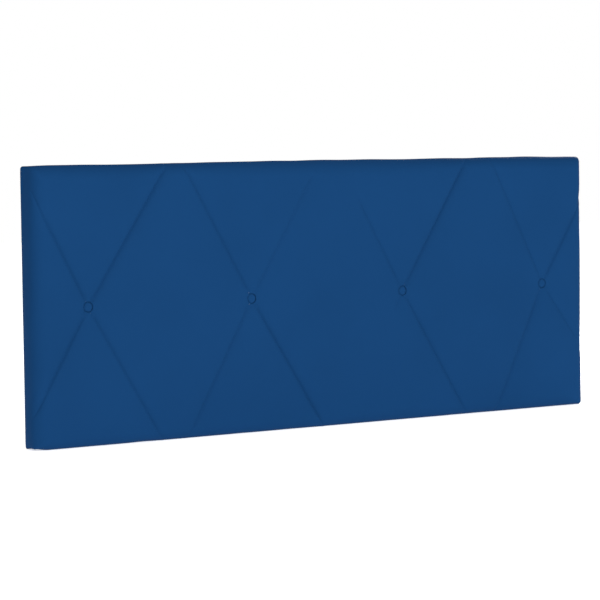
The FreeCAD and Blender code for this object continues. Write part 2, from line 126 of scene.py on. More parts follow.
CORNER_PULL = 4.3 * MM  # how far the bottom left corner is drawn in
CORNER_PULL_REACH = 20 * MM
# each pleat at the corners: (place, slope, strength)
CORNER_PLEATS = [(7 * MM, 0.10, 1.0), (17 * MM, 0.16, 0.55), (-9 * MM, -0.05, 0.5)]
PLEAT_DEPTH = 1.5 * MM

# ---- how densely the sheets are divided ----
# rings of points round a button, as shares of the twine hole's and of the button's radius
HOLE_RINGS = (1, 1.7)
BUTTON_RINGS = (0.9, 1.03, 1.08, 1.12, 1.16, 1.20, 1.24, 1.31, 1.42, 1.6, 1.85, 2.15)
COVER_ROWS = [k * MM for k in (0, -1, 1, -2.2, 2.2, -3.8, 3.8, -6.2, 6.2)]  # rows of points along a crease
PADDING_ROWS = [k * MM for k in (0, -3, 3, -7, 7)]


# ---- the cover's shape ----
def sheet_profile(s):
    """(inset from the outline, depth, outward part of the normal, forward part) at s past the flat face."""
    s = np.asarray(s, float)
    roll = np.clip(s, 0, ROLL_LENGTH) / ROLL_RADIUS
    inset = ROLL_RADIUS * (1 - np.sin(roll))
    depth = ROLL_RADIUS * (1 - np.cos(roll))
    depth = depth + np.clip(s - ROLL_LENGTH, 0, SIDE_END - ROLL_LENGTH)
    bend = np.clip(s - SIDE_END, 0, FLANGE_START - SIDE_END) / BACK_BEND
    inset = inset + BACK_BEND * (1 - np.cos(bend)) + np.clip(s - FLANGE_START, 0, None)
    depth = depth + BACK_BEND * np.sin(bend)
    angle = roll + bend
    return inset, depth, np.sin(angle), np.cos(angle)


def straight_half(half, s):
    """Half the length of the straight part of a side, between its two round corners."""
    return half - sheet_profile(s)[0] - CORNER_RADIUS


def side_end(sx, sz, s):
    """Where the left or right side's straight part ends on the flat sheet, at s past the face."""
    return sx * (FLAT_HALF + s), MID_HEIGHT + sz * float(straight_half(MID_HEIGHT, s))


def top_end(sx, sz, s):
    """The same for the top or bottom side."""
    return sx * float(straight_half(HALF_WIDTH, s)), MID_HEIGHT + sz * (FLAT_HALF_HEIGHT + s)


class Panel:
    """A triangle mesh of the wrapped sheet, with each point's rest place, normal and flat place."""

    def __init__(self, spacing, row_offsets, row_spacing, last):
        """Points about spacing apart, with rows along the creases, as far as last past the flat face."""
        self.spacing, self.last = spacing, last
        self.levels = self.level_marks(max(2, round(last / (spacing * 0.75))))
        self.corner_steps = max(3, round(CORNER_RADIUS * math.pi / 2 / (spacing * 0.5)))
        flat = self.boundary() + self.inner_points(row_offsets, row_spacing)
        self.triangulate(flat)
        self.place_flat()
        self.add_corners()

    def level_marks(self, levels):
        """Distances past the flat face at which the sides' ends and the corners are divided."""
        bends = (0, ROLL_LENGTH, SIDE_END, FLANGE_START, self.last)
        marks = [mark for mark in bends if mark <= self.last + 1e-9]
        found = []
        for low, high in zip(marks, marks[1:]):
            steps = max(1, round((high - low) / self.last * levels))
            if low == 0:
                steps = max(steps, 4)
            found += [low + (high - low) * i / steps for i in range(steps)]
        return found + [marks[-1]]

    def corner_arc(self, sx, sz, s):
        """The face's own rounded corner, from the side's end to the top's end."""
        cu, cv = straight_half(HALF_WIDTH, s), straight_half(MID_HEIGHT, s)
        arc = []
        for i in range(self.corner_steps + 1):
            a = math.pi / 2 * i / self.corner_steps
            arc.append((sx * (cu + CORNER_RADIUS * math.cos(a)),
                        MID_HEIGHT + sz * (cv + CORNER_RADIUS * math.sin(a))))
        return arc

    def boundary(self):
        """The plus-shaped outline of the flat sheet without its four corners, counter-clockwise."""
        def between(a, b):
            a, b = Vector(a), Vector(b)
            steps = max(1, round((b - a).length / self.spacing))
            return [tuple(a.lerp(b, i / steps)) for i in range(1, steps)]

        loop = []
        for sx, sz in ((1, 1), (-1, 1), (-1, -1), (1, -1)):
            side = [side_end(sx, sz, s) for s in reversed(self.levels)][:-1]
            arc = self.corner_arc(sx, sz, 0)
            top = [top_end(sx, sz, s) for s in self.levels][1:]
            run = side + arc + top
            if sx * sz < 0:
                run.reverse()
            if loop:
                loop += between(loop[-1], run[0])
            loop += run
        loop += between(loop[-1], loop[0])
        self.outline_count = len(loop)
        return loop

    def inner_points(self, row_offsets, row_spacing):
        """Rings round each button, rows along each crease and bend, and an even lattice for the rest."""
        buttons = np.array([[x, MID_HEIGHT] for x in BUTTON_XS])
        rings = self.ring_radii()
        ring_edge = rings[-1] + 1.5 * MM
        points = [place for x in BUTTON_XS for radius in rings for place in self.ring(x, radius)]

        rows = self.crease_rows(row_offsets, row_spacing)
        for level in BEND_LEVELS:
            if level < self.last - MM:
                rows += self.level_rows(level, min(self.spacing, 5 * MM))
        rows = np.concatenate(rows)
        near = np.min(np.linalg.norm(rows[:, None] - buttons[None], axis=2), axis=1)
        rows = rows[near > ring_edge]
        rows = rows[inside_sheet(rows, self.last, 0.6 * MM)]
        points += thinned([tuple(p) for p in rows], min(row_spacing, 2.2 * MM) * 0.4)

        taken = Neighbours(points, self.spacing)
        gap = self.spacing * (0.55 if len(row_offsets) > 1 else 0.6)
        points += [tuple(p) for p in self.lattice() if not taken.within(p, gap)
                   and min(np.linalg.norm(buttons - p, axis=1)) > ring_edge]
        return points

    def ring_radii(self):
        radii = [TWINE_HOLE_RADIUS * k for k in HOLE_RINGS] + [BUTTON_RADIUS * k for k in BUTTON_RINGS]
        return radii if self.spacing < 10 * MM else radii[::3]

    def ring(self, x, radius):
        """Even places on a circle round the button at x."""
        spacing = min(self.spacing * 0.5, 2.6 * MM + radius * 0.08)
        steps = max(12, round(2 * math.pi * radius / spacing))
        angles = [2 * math.pi * k / steps for k in range(steps)]
        return [(x + radius * math.cos(a), MID_HEIGHT + radius * math.sin(a)) for a in angles]

    def crease_rows(self, offsets, spacing):
        """Rows of places beside each crease, at each of the offsets across it."""
        rows = []
        for crease in CREASES:
            line = crease_line(crease, spacing, self.last - 2 * MM)
            along = np.gradient(line, axis=0)
            along /= np.linalg.norm(along, axis=1)[:, None]
            across = np.stack([-along[:, 1], along[:, 0]], axis=1)
            rows += [line + across * offset for offset in offsets]
        return rows

    def lattice(self):
        """An even triangular lattice over the whole sheet."""
        row_step = self.spacing * math.sqrt(3) / 2
        half_rows = int((MID_HEIGHT + self.last) / row_step) + 1
        half_cols = int((HALF_WIDTH + self.last) / self.spacing) + 1
        places = [((i + 0.5 * (j % 2)) * self.spacing, MID_HEIGHT + j * row_step)
                  for j in range(-half_rows, half_rows + 1) for i in range(-half_cols, half_cols + 1)]
        places = np.array(places)
        return places[inside_sheet(places, self.last, self.spacing * 0.45)]

    def level_rows(self, s, spacing):
        """Points along the four sides at one distance past the face."""
        rows = []
        for sign in (-1, 1):
            half = float(straight_half(HALF_WIDTH, s)) - MM
            u = np.linspace(-half, half, round(2 * half / spacing) + 1)
            rows.append(np.stack([u, np.full_like(u, MID_HEIGHT + sign * (FLAT_HALF_HEIGHT + s))], axis=1))
            half = float(straight_half(MID_HEIGHT, s)) - MM
            v = np.linspace(-half, half, round(2 * half / spacing) + 1)
            rows.append(np.stack([np.full_like(v, sign * (FLAT_HALF + s)), MID_HEIGHT + v], axis=1))
        return rows

    def triangulate(self, flat):
        """Joins the flat places into faces, with a hole at each button for the twine."""
        edges = [(i, (i + 1) % self.outline_count) for i in range(self.outline_count)]
        made = delaunay_2d_cdt([Vector(p) for p in flat], edges, [], 1, 1e-7)
        self.flat = np.array([tuple(p) for p in made[0]])
        hole = [Vector((x, MID_HEIGHT)) for x in BUTTON_XS]
        self.faces = []
        for face in made[2]:
            middle = sum((made[0][i] for i in face), Vector((0, 0))) / len(face)
            if min((middle - h).length for h in hole) > TWINE_HOLE_RADIUS * 0.98:
                self.faces.append(list(face))
        self.flat, self.faces = only_used(self.flat, self.faces)

    def place_flat(self):
        """Wraps every flat place round the pad."""
        u, v = self.flat[:, 0], self.flat[:, 1] - MID_HEIGHT
        past_u, past_v = np.abs(u) - FLAT_HALF, np.abs(v) - FLAT_HALF_HEIGHT
        over_side = (past_u > 0) & (past_u > past_v)
        over_top = (past_v > 0) & ~over_side
        s = np.where(over_side, past_u, np.where(over_top, past_v, 0))
        inset, depth, out, front = sheet_profile(s)
        x = np.where(over_side, np.sign(u) * (HALF_WIDTH - inset), u)
        z = np.where(over_top, np.sign(v) * (MID_HEIGHT - inset), v)
        self.rest = np.stack([x, FRONT + depth, MID_HEIGHT + z], axis=1)
        self.normal = np.stack([np.where(over_side, np.sign(u) * out, 0), -front,
                                np.where(over_top, np.sign(v) * out, 0)], axis=1)
        self.s = s
        end_top = straight_half(HALF_WIDTH, s) - np.abs(u)
        end_side = -(CORNER_RADIUS * math.pi / 2 + straight_half(MID_HEIGHT, s) - np.abs(v))
        self.along = np.where(over_side, end_side, np.where(over_top, end_top, 1.0))

    def add_corners(self):
        """Fills each corner between the ends of its two sides, level by level."""
        lookup = {(round(u * 1e6), round(v * 1e6)): i for i, (u, v) in enumerate(self.flat)}

        def known(point):
            return lookup[(round(point[0] * 1e6), round(point[1] * 1e6))]

        rest, normal, flat, s_all, along = [], [], [], [], []
        count = len(self.flat)
        for sx, sz in ((1, 1), (-1, 1), (-1, -1), (1, -1)):
            grid = []
            for s in self.levels:
                inset, depth, out, front = (float(k) for k in sheet_profile(s))
                row = []
                for i, point in enumerate(self.corner_arc(sx, sz, s)):
                    a = math.pi / 2 * i / self.corner_steps
                    if s == 0:
                        row.append(known(point))
                    elif i == 0:
                        row.append(known(side_end(sx, sz, s)))
                    elif i == self.corner_steps:
                        row.append(known(top_end(sx, sz, s)))
                    else:
                        row.append(count + len(rest))
                        rest.append((point[0], FRONT + depth, point[1]))
                        normal.append((sx * math.cos(a) * out, -front, sz * math.sin(a) * out))
                        flat.append((sx * (HALF_WIDTH + 1), MID_HEIGHT + sz * (MID_HEIGHT + 1)))
                        s_all.append(s)
                        along.append(-CORNER_RADIUS * (math.pi / 2 - a))
                grid.append(row)
            for low, high in zip(grid, grid[1:]):
                for i in range(self.corner_steps):
                    quad = [low[i], high[i], high[i + 1], low[i + 1]]
                    self.faces.append(quad if sx * sz > 0 else quad[::-1])
        self.rest = np.concatenate([self.rest, rest])
        self.normal = np.concatenate([self.normal, normal])
        self.flat = np.concatenate([self.flat, flat])
        self.s = np.concatenate([self.s, s_all])
        self.along = np.concatenate([self.along, along])


def only_used(points, faces):
    """The points that some face uses, and the faces numbered to match."""
    used = sorted({i for face in faces for i in face})
    renumber = {old: new for new, old in enumerate(used)}
    return points[used], [[renumber[i] for i in face] for face in faces]


class Neighbours:
    """Finds quickly whether any of its points lies near a place."""

    def __init__(self, points, cell):
        self.cell, self.cells = cell, {}
        for p in points:
            self.add(p)

    def home(self, p):
        return int(p[0] // self.cell), int(p[1] // self.cell)

    def add(self, p):
        self.cells.setdefault(self.home(p), []).append(p)

    def within(self, place, gap):
        i, j = self.home(place)
        return any((p[0] - place[0]) ** 2 + (p[1] - place[1]) ** 2 < gap * gap
                   for a in (i - 1, i, i + 1) for b in (j - 1, j, j + 1) for p in self.cells.get((a, b), ()))


def thinned(points, gap):
    """The same points without those that crowd an earlier one."""
    taken, kept = Neighbours([], gap), []
    for p in points:
        if not taken.within(p, gap):
            taken.add(p)
            kept.append(p)
    return kept


def inside_sheet(points, last, margin):
    """Which flat places lie on the plus-shaped sheet, at least margin from its outline."""
    u, v = np.abs(points[:, 0]), np.abs(points[:, 1] - MID_HEIGHT)
    past_u, past_v = u - FLAT_HALF, v - FLAT_HALF_HEIGHT
    face = (past_u <= 0) & (past_v <= 0)
    corner_u, corner_v = straight_half(HALF_WIDTH, 0), straight_half(MID_HEIGHT, 0)
    in_corner = (u > corner_u) & (v > corner_v)
    arc = np.hypot(u - corner_u, v - corner_v) < CORNER_RADIUS - margin
    face &= ~in_corner | arc
    most_u = straight_half(HALF_WIDTH, np.clip(past_v, 0, last)) - margin
    most_v = straight_half(MID_HEIGHT, np.clip(past_u, 0, last)) - margin
    top = (past_v > 0) & (past_v < last - margin) & (u < most_u)
    side = (past_u > 0) & (past_u < last - margin) & (v < most_v)
    near_top = (past_v > -margin) & (u > corner_u - margin) & (past_u < 0)
    near_side = (past_u > -margin) & (v > corner_v - margin) & (past_v < 0)
    return (face & ~near_top & ~near_side) | top | side


# ---- creases ----
def crease_way(crease):
    """(button's place, direction to the edge, direction along the edge, slope, distance to the edge)."""
    button, edge, lean, slope = crease[:4]
    x = BUTTON_XS[button]
    if edge in ("top", "bottom"):
        out = 1 if edge == "top" else -1
        return (x, MID_HEIGHT), (0, out), (lean, 0), slope, FLAT_HALF_HEIGHT
    out = 1 if edge == "right" else -1
    return (x, MID_HEIGHT), (out, 0), (0, lean), slope, FLAT_HALF - abs(x)


def crease_line(crease, spacing, over):
    """Places along a crease on the flat sheet, until it fades or has gone over past the edge."""
    start, out, sideways, slope, to_edge = crease_way(crease)
    last = min(crease[6] * to_edge, to_edge + over)
    step = spacing / math.hypot(1, slope)
    t = np.arange(0, last + step / 2, step)
    turned = turned_run(t, to_edge)
    return np.stack([start[0] + out[0] * t + sideways[0] * slope * turned,
                     start[1] + out[1] * t + sideways[1] * slope * turned], axis=1)


def turned_run(t, to_edge):
    """Follows t until the crease is over the roll and then levels off, so that it runs straight back."""
    limit = to_edge + CREASE_RUN_ON
    return limit - CREASE_TURN * np.log1p(np.exp((limit - t) / CREASE_TURN))


def crease_drop(flat):
    """How far every place of the flat sheet is drawn in by the creases."""
    drop = np.zeros(len(flat))
    for crease in CREASES:
        start, out, sideways, slope, to_edge = crease_way(crease)
        relative = flat - np.array(start)
        t = relative @ np.array(out)
        span = relative @ np.array(sideways)
        run = turned_run(t, to_edge)
        local_slope = slope * (turned_run(t + MM, to_edge) - turned_run(t - MM, to_edge)) / (2 * MM)
        across = (span - slope * run) / np.sqrt(1 + local_slope ** 2)
        share = np.clip(t / to_edge, 0, 2)
        strength = crease[4] + (crease[5] - crease[4]) * np.clip(share, 0, 1)
        way = np.hypot(t, slope * np.clip(run, 0, None))
        begin = smooth(way, BUTTON_RADIUS * 1.15, BUTTON_RADIUS * 1.7)
        finish = 1 - smooth(share, crease[6] - 0.18, crease[6])
        fade_end = ROLL_LENGTH * (0.9 if crease[1] in ("top", "bottom") else 1.2)
        side_fade = 1 - smooth(t - to_edge, fade_end - 35 * MM, fade_end)
        width = CREASE_WIDTH * (0.7 + 0.3 * strength)
        skew = np.where(across * crease[2] > 0, 1.35, 0.75)
        away = np.abs(across) / (width * skew)
        valley = 0.85 * np.exp(-away ** 1.25) + 0.15 * np.exp(-away / 4)
        valley = np.where(t > 0, valley, 0)
        drop = np.maximum(drop, strength * begin * finish * side_fade * valley)
    return drop * CREASE_DEPTH


def smooth(value, low, high):
    """0 below low, 1 above high and an even ramp between."""
    share = np.clip((value - low) / (high - low), 0, 1)
    return share * share * (3 - 2 * share)


def well_drop(flat):
    """How far the cover is drawn in round each button."""
    drop = np.zeros(len(flat))
    for x in BUTTON_XS:
        r = np.hypot(flat[:, 0] - x, flat[:, 1] - MID_HEIGHT)
        wall = 1 - smooth(r, WELL_FLOOR, WELL_LIP)
        shoulder = np.exp(-np.clip(r - WELL_LIP, 0, None) / WELL_SHOULDER)
        drop = np.maximum(drop, WELL_DEPTH * (LIP_SHARE * wall + (1 - LIP_SHARE) * shoulder))
    return drop


def drawn_in(flat):
    """How far the buttons and the creases together draw in every place of the flat sheet."""
    well = well_drop(flat)
    return well + crease_drop(flat) * (1 - (well / WELL_DEPTH) ** 2)


def lip_pull(flat):
    """How far the cover closes in over the rim of each button, across the face."""
    pull = np.zeros((len(flat), 3))
    for x in BUTTON_XS:
        from_button = flat - np.array([x, MID_HEIGHT])
        r = np.hypot(from_button[:, 0], from_button[:, 1])
        most_at = BUTTON_RADIUS * 1.24
        share = smooth(r, BUTTON_RADIUS * 1.10, most_at) * (1 - smooth(r, most_at, 30 * MM))
        inward = -LIP_PULL * share / np.maximum(r, MM)
        pull[:, 0] += inward * from_button[:, 0]
        pull[:, 2] += inward * from_button[:, 1]
    return pull


# ---- cloth simulation ----
def new_object(name, points, faces):
    mesh = bpy.data.meshes.new(name)
    mesh.from_pydata([tuple(p) for p in points], [], [list(f) for f in faces])
    mesh.update()
    obj = bpy.data.objects.new(name, mesh)
    bpy.context.scene.collection.objects.link(obj)
    return obj


def simulate(name, points, faces, held, steps, gravity, **values):
    """Runs the points as cloth, held by their weights. Gives how far each has moved after the last step."""
    obj = new_object(name, points, faces)
    group = obj.vertex_groups.new(name="held")
    for i, weight in enumerate(held):
        if weight > 0:
            group.add([i], float(weight), "REPLACE")
    cloth = obj.modifiers.new(name, "CLOTH")
    for setting, value in values.items():
        setattr(cloth.settings, setting, value)
    cloth.settings.vertex_group_mass = "held"
    cloth.settings.effector_weights.gravity = gravity
    cloth.settings.use_pressure = True
    cloth.collision_settings.use_collision = False
    scene = bpy.context.scene
    for step in range(1, steps + 1):
        scene.frame_set(step)
    shown = obj.evaluated_get(bpy.context.evaluated_depsgraph_get())
    moved = np.array([tuple(v.co) for v in shown.data.vertices]) - points
    scene.frame_set(1)
    mesh = obj.data
    bpy.data.objects.remove(obj)
    bpy.data.meshes.remove(mesh)
    print(name, "most", np.round(np.abs(moved).max(axis=0) * 1000, 1), "mm on", len(moved), "points")
    return moved


def swell():
    """Blows a coarse sheet up between its creases and buttons. Gives it, its tree and how far it moved."""
    coarse = Panel(15 * MM, [0], 9 * MM, SHEET_END)
    start = coarse.rest - coarse.normal * well_drop(coarse.flat)[:, None]
    tree = BVHTree.FromPolygons([tuple(p) for p in coarse.rest], triangles(coarse.faces))
    held = crease_drop(coarse.flat) / CREASE_DEPTH
    held = np.where(held > 0.35, np.clip(held * 1.2, 0, 1), 0)
    held = np.maximum(held, smooth(well_drop(coarse.flat), 0.5 * MM, 2 * MM))
    held = np.maximum(held, smooth(coarse.s, SIDE_END - 8 * MM, SIDE_END))
    moved = simulate("swelling", start, coarse.faces, held, steps=18, gravity=0, quality=6, mass=0.3,
                     tension_stiffness=25, compression_stiffness=25, shear_stiffness=15,
                     bending_stiffness=0.5, uniform_pressure_force=1.2)
    return coarse, tree, moved


def triangles(faces):
    """The same faces with every quad cut in two."""
    cut = []
    for f in faces:
        cut += [f[:3]] if len(f) == 3 else [[f[0], f[1], f[2]], [f[0], f[2], f[3]]]
    return cut


class Swelling:
    """The simulated movement of the cover, looked up at any place of its rest shape."""

    def __init__(self):
        self.coarse, self.tree, self.moved = swell()
        self.corners = triangles(self.coarse.faces)

    def at(self, points):
        """How far the simulated sheet has moved at the place nearest to each of the points."""
        found = np.zeros_like(points)
        for i, p in enumerate(points):
            place, _, face, _ = self.tree.find_nearest(Vector(p))
            corner = self.corners[face]
            a, b, c = (Vector(self.coarse.rest[k]) for k in corner)
            whole = (b - a).cross(c - a)
            size = whole.length_squared or 1.0
            wa = (b - place).cross(c - place).dot(whole) / size
            wb = (c - place).cross(a - place).dot(whole) / size
            found[i] = (self.moved[corner[0]] * wa + self.moved[corner[1]] * wb
                        + self.moved[corner[2]] * (1 - wa - wb))
        return found


def ripple(points, pitch, seed):
    """Slow, even unevenness between -1 and 1, the same each run."""
    offset = Vector((seed * 7.31, seed * 3.77, seed * 5.13))
    return np.array([noise.noise(Vector(p) / pitch + offset) for p in points])


def cover_offset(panel, swelling):
    """Where each point of the panel's rest shape goes, as a movement along its normal."""
    swollen = np.einsum("ij,ij->i", swelling.at(panel.rest), panel.normal)
    swollen = PLUMP * np.tanh(np.clip(swollen, -PLUMP, None) / PLUMP)
    amount = swollen * (1 - well_drop(panel.flat) / WELL_DEPTH) - drawn_in(panel.flat)
    before_bend = 1 - smooth(panel.s, SIDE_END - FADE_BEFORE_BEND, SIDE_END)
    side = smooth(panel.s, 0, ROLL_LENGTH) * before_bend
    amount += ripple(panel.rest, 80 * MM, 1) * 1.5 * MM * side
    height = panel.rest[:, 2] / MID_HEIGHT - 1
    amount -= SIDE_LEAN * height * side * np.abs(panel.normal[:, 0])
    from_corner = np.hypot(panel.rest[:, 0] + HALF_WIDTH, panel.rest[:, 2])
    corner_fade = 1 - smooth(panel.s, SIDE_END - 12 * MM, SIDE_END)
    amount -= CORNER_PULL * np.exp(-(from_corner / CORNER_PULL_REACH) ** 2) * corner_fade
    amount += ripple(panel.rest, 160 * MM, 2) * 0.5 * MM * before_bend
    amount -= corner_pleats(panel)
    return amount


def corner_pleats(panel):
    """Folds of spare cloth at each corner, which run back from the roll on the top and bottom sides."""
    drop = np.zeros(len(panel.rest))
    for place, slope, strength in CORNER_PLEATS:
        across = panel.along - place - slope * panel.s
        skew = np.where(across > 0, 2.2 * MM, 0.9 * MM)
        fade = smooth(panel.s, ROLL_LENGTH * 0.45, SIDE_END)
        drop = np.maximum(drop, strength * PLEAT_DEPTH * fade * np.exp(-np.abs(across) / skew))
    return np.where(panel.s > 0, drop, 0)


def rim_edges(faces):
    """The edges that only one face has, in that face's direction."""
    seen = dict.fromkeys((a, b) for f in faces for a, b in zip(f, f[1:] + f[:1]))
    return [edge for edge in seen if edge[::-1] not in seen]


def two_layers(name, outer, inner, faces):
    """A closed mesh between two layers that share their faces."""
    count = len(outer)
    back = [[i + count for i in reversed(f)] for f in faces]
    rim = [[b, a, a + count, b + count] for a, b in rim_edges(faces)]
    obj = new_object(name, np.concatenate([outer, inner]), faces + back + rim)
    for face in obj.data.polygons:
        face.use_smooth = True
    return obj


def point_normals(points, faces):
    mesh = bpy.data.meshes.new("scratch")
    mesh.from_pydata([tuple(p) for p in points], [], faces)
    mesh.update()
    normals = np.array([tuple(v.vector) for v in mesh.vertex_normals])
    bpy.data.meshes.remove(mesh)
    return normals


def outer_face(panel, swelling):
    """The cover's outer face, kept above the floor."""
    outer = panel.rest + panel.normal * cover_offset(panel, swelling)[:, None] + lip_pull(panel.flat)
    outer[:, 2] = np.maximum(outer[:, 2], 0)
    return outer


def make_cover(swelling):
    """The leatherette sheet: face, rolls, sides and flange in one piece."""
    panel = Panel(8 * MM, COVER_ROWS, 4 * MM, SHEET_END)
    outer = outer_face(panel, swelling)
    inner = outer - point_normals(outer, panel.faces) * COVER_THICK
    cover = two_layers("padded_cover", outer, inner, panel.faces)
    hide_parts("cover")
    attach(cover, "root")
    paint(cover, leatherette())
    print("cover:", len(panel.rest), "points,", len(panel.faces), "faces")


# ---- padding ----
def padding_panel(last):
    return Panel(13 * MM, PADDING_ROWS, 7 * MM, last)


def make_wadding(swelling):
    """The fibre layer between the cover and the foam, which takes up the cover's swelling."""
    panel = padding_panel(SIDE_END)
    outer = outer_face(panel, swelling)
    drop = drawn_in(panel.flat)
    clear = COVER_THICK + 0.3 * MM + 1.9 * MM * smooth(drop, 0.3 * MM, 1.5 * MM)
    outer -= point_normals(outer, panel.faces) * clear[:, None]
    inner = panel.rest - panel.normal * (FOAM_INSET - 0.4 * MM + drop)[:, None]
    wadding = two_layers("fibre_wadding", outer, inner, panel.faces)
    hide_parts("wadding")
    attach(wadding, "root")
    paint(wadding, fibre("white_fibre", (0.86, 0.86, 0.84), 260, 0.6 * MM))


def make_foam():
    """The foam block, drawn in at the front in the same places as the cover."""
    panel = padding_panel(ROLL_LENGTH)
    front = panel.rest - panel.normal * (FOAM_INSET + drawn_in(panel.flat))[:, None]
    back = front.copy()
    back[:, 1] = FRONT + FOAM_BACK
    foam = two_layers("foam_pad_shaped", front, back, panel.faces)
    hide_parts("foam_pad")
    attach(foam, "root")
    paint(foam, fibre("open_cell_foam", (0.80, 0.70, 0.44), 700, 0.4 * MM))


# ---- buttons ----
BUTTON_SKIN = 0.8 * MM
BUTTON_RIM = 2.2 * MM
BUTTON_STEPS = 72  # points round a button
DOME_STEPS = 12


def button_profile(radius, rim, low, top, tuck):
    """(radius, height above the well floor) from the tucked-in edge over the rim to the crown."""
    points = [(tuck, low), (radius * 0.93, low), (radius * 0.985, rim * 0.25), (radius, rim * 0.65)]
    for i in range(DOME_STEPS + 1):
        a = math.pi / 2 * i / DOME_STEPS
        across = radius * math.cos(a) ** 0.9 if i < DOME_STEPS else 0.0
        points.append((across, rim + (top - rim) * math.sin(a) ** 1.15))
    return points


def make_button(number):
    """Leatherette drawn over a domed shell, gathered in small pleats where it is tucked under the rim."""
    centre = Vector((BUTTON_XS[number - 1], FRONT + WELL_DEPTH, MID_HEIGHT))
    rise = WELL_DEPTH - BUTTON_CROWN
    tuck = BUTTON_RADIUS * 0.84
    outside = button_profile(BUTTON_RADIUS, BUTTON_RIM, 0.0, rise, tuck)
    inside = button_profile(BUTTON_RADIUS - BUTTON_SKIN, BUTTON_RIM, BUTTON_SKIN * 0.5,
                            rise - BUTTON_SKIN, tuck)
    layers = []
    for profile, pleat in ((outside, 0.22 * MM), (inside, 0.0)):
        points = []
        for radius, height in profile[:-1]:
            gather = pleat * (1 - smooth(height, 0, rise * 0.7))
            for k in range(BUTTON_STEPS):
                a = 2 * math.pi * k / BUTTON_STEPS
                wave = abs(math.sin(a * 9 + number)) - 0.6 + 0.35 * math.sin(a * 5 + number * 2)
                r = radius + float(gather) * min(wave, 0.2)
                points.append(centre + Vector((r * math.cos(a), -height, r * math.sin(a))))
        points.append(centre + Vector((0, -profile[-1][1], 0)))
        layers.append(points)
    rings = len(outside) - 1
    top = rings * BUTTON_STEPS
    faces = []
    for ring in range(rings):
        for k in range(BUTTON_STEPS):
            a = ring * BUTTON_STEPS + k
            b = ring * BUTTON_STEPS + (k + 1) % BUTTON_STEPS
            face = [a, b, b + BUTTON_STEPS, a + BUTTON_STEPS] if ring < rings - 1 else [a, b, top]
            faces.append(face[::-1])
    outer, inner = (np.array([tuple(p) for p in layer]) for layer in layers)
    button = two_layers(f"covered_button_{number}", outer, inner, faces)
    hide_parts(f"button_{number}_skin")
    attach(button, "root")
    paint(button, bpy.data.materials["blue_leatherette"])


# ---- dust cover ----
SHEET_LOW, SHEET_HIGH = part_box("dust_cover")
DUST_THICK = 0.3 * MM
HEM_WIDTH = 15 * MM
DUST_LAYER = 0.4 * MM  # one layer of the dust cover in the CAD model
DUST_SPACING = 9 * MM


def frame_bays():
    """(low x, high x) of the openings between the upright members of the frame."""
    members = ["left_stile", "left_upright", "centre_upright", "right_upright", "right_stile"]
    boxes = [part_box(name) for name in members]
    return [(left[1].x, right[0].x) for left, right in zip(boxes, boxes[1:])]


def bay_share(x, z):
    """1 well inside a bay, 0 over the wood."""
    low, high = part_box("left_stile")[0].z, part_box("left_stile")[1].z
    share = np.zeros_like(x)
    for left, right in frame_bays():
        gap = np.minimum(np.minimum(x - left, right - x), np.minimum(z - low, high - z))
        share = np.maximum(share, smooth(gap, 0, 25 * MM))
    return share


def sag_in_bays(points, faces, free):
    """Lets the slack sheet hang between the members. Gives how far each point moves."""
    held = np.where(1 - free > 0.02, 1 - free, 0)
    return simulate("sagging", points, faces, held, steps=22, gravity=0.5, quality=5, mass=0.1,
                    tension_stiffness=12, compression_stiffness=12, shear_stiffness=8,
                    bending_stiffness=0.05, shrink_min=-0.006, uniform_pressure_force=-0.05)


def make_dust_cover():
    """A thin black sheet over the back. Its edge is folded under and stapled."""
    half_x, low, high = SHEET_HIGH.x, SHEET_LOW.z, SHEET_HIGH.z
    mid, half_z = (low + high) / 2, (high - low) / 2
    columns = side_marks(half_x, DUST_SPACING)
    rows = side_marks(half_z, DUST_SPACING)
    over_flange = SHEET_HIGH.y
    on_frame = FRONT + FLANGE_DEPTH - COVER_THICK + DUST_LAYER
    points, keep = [], []
    for flat_z in rows:
        for flat_x in columns:
            over_x, over_z = abs(flat_x) - half_x, abs(flat_z) - half_z
            x = flat_x if over_x <= 0 else math.copysign(half_x - over_x, flat_x)
            z = flat_z if over_z <= 0 else math.copysign(half_z - over_z, flat_z)
            edge = min(HALF_WIDTH - abs(x), MID_HEIGHT - abs(z + mid - MID_HEIGHT))
            step_down = float(smooth(edge, FLANGE_WIDTH - MM, FLANGE_WIDTH + 5 * MM))
            y = over_flange + (on_frame - over_flange) * step_down
            if over_x > 0 or over_z > 0:
                y = over_flange - DUST_LAYER
            points.append((x, y, mid + z))
            keep.append(not (over_x > 0 and over_z > 0))
    faces = []
    width = len(columns)
    for j in range(len(rows) - 1):
        for i in range(width - 1):
            quad = [j * width + i, (j + 1) * width + i, (j + 1) * width + i + 1, j * width + i + 1]
            if all(keep[k] for k in quad):
                faces.append(quad)
    points, faces = only_used(np.array(points), faces)
    free = bay_share(points[:, 0], points[:, 2])
    moved = sag_in_bays(points, faces, free)
    moved[:, 1] = np.clip(moved[:, 1], -7 * MM, 0.5 * MM)
    points = points + moved * free[:, None]
    points[:, 1] -= 0.35 * MM * free * (1 + ripple(points, 60 * MM, 4))
    inner = points - point_normals(points, faces) * DUST_THICK
    sheet = two_layers("dust_sheet", points, inner, faces)
    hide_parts("dust_cover")
    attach(sheet, "root")
    paint(sheet, spun_cloth())


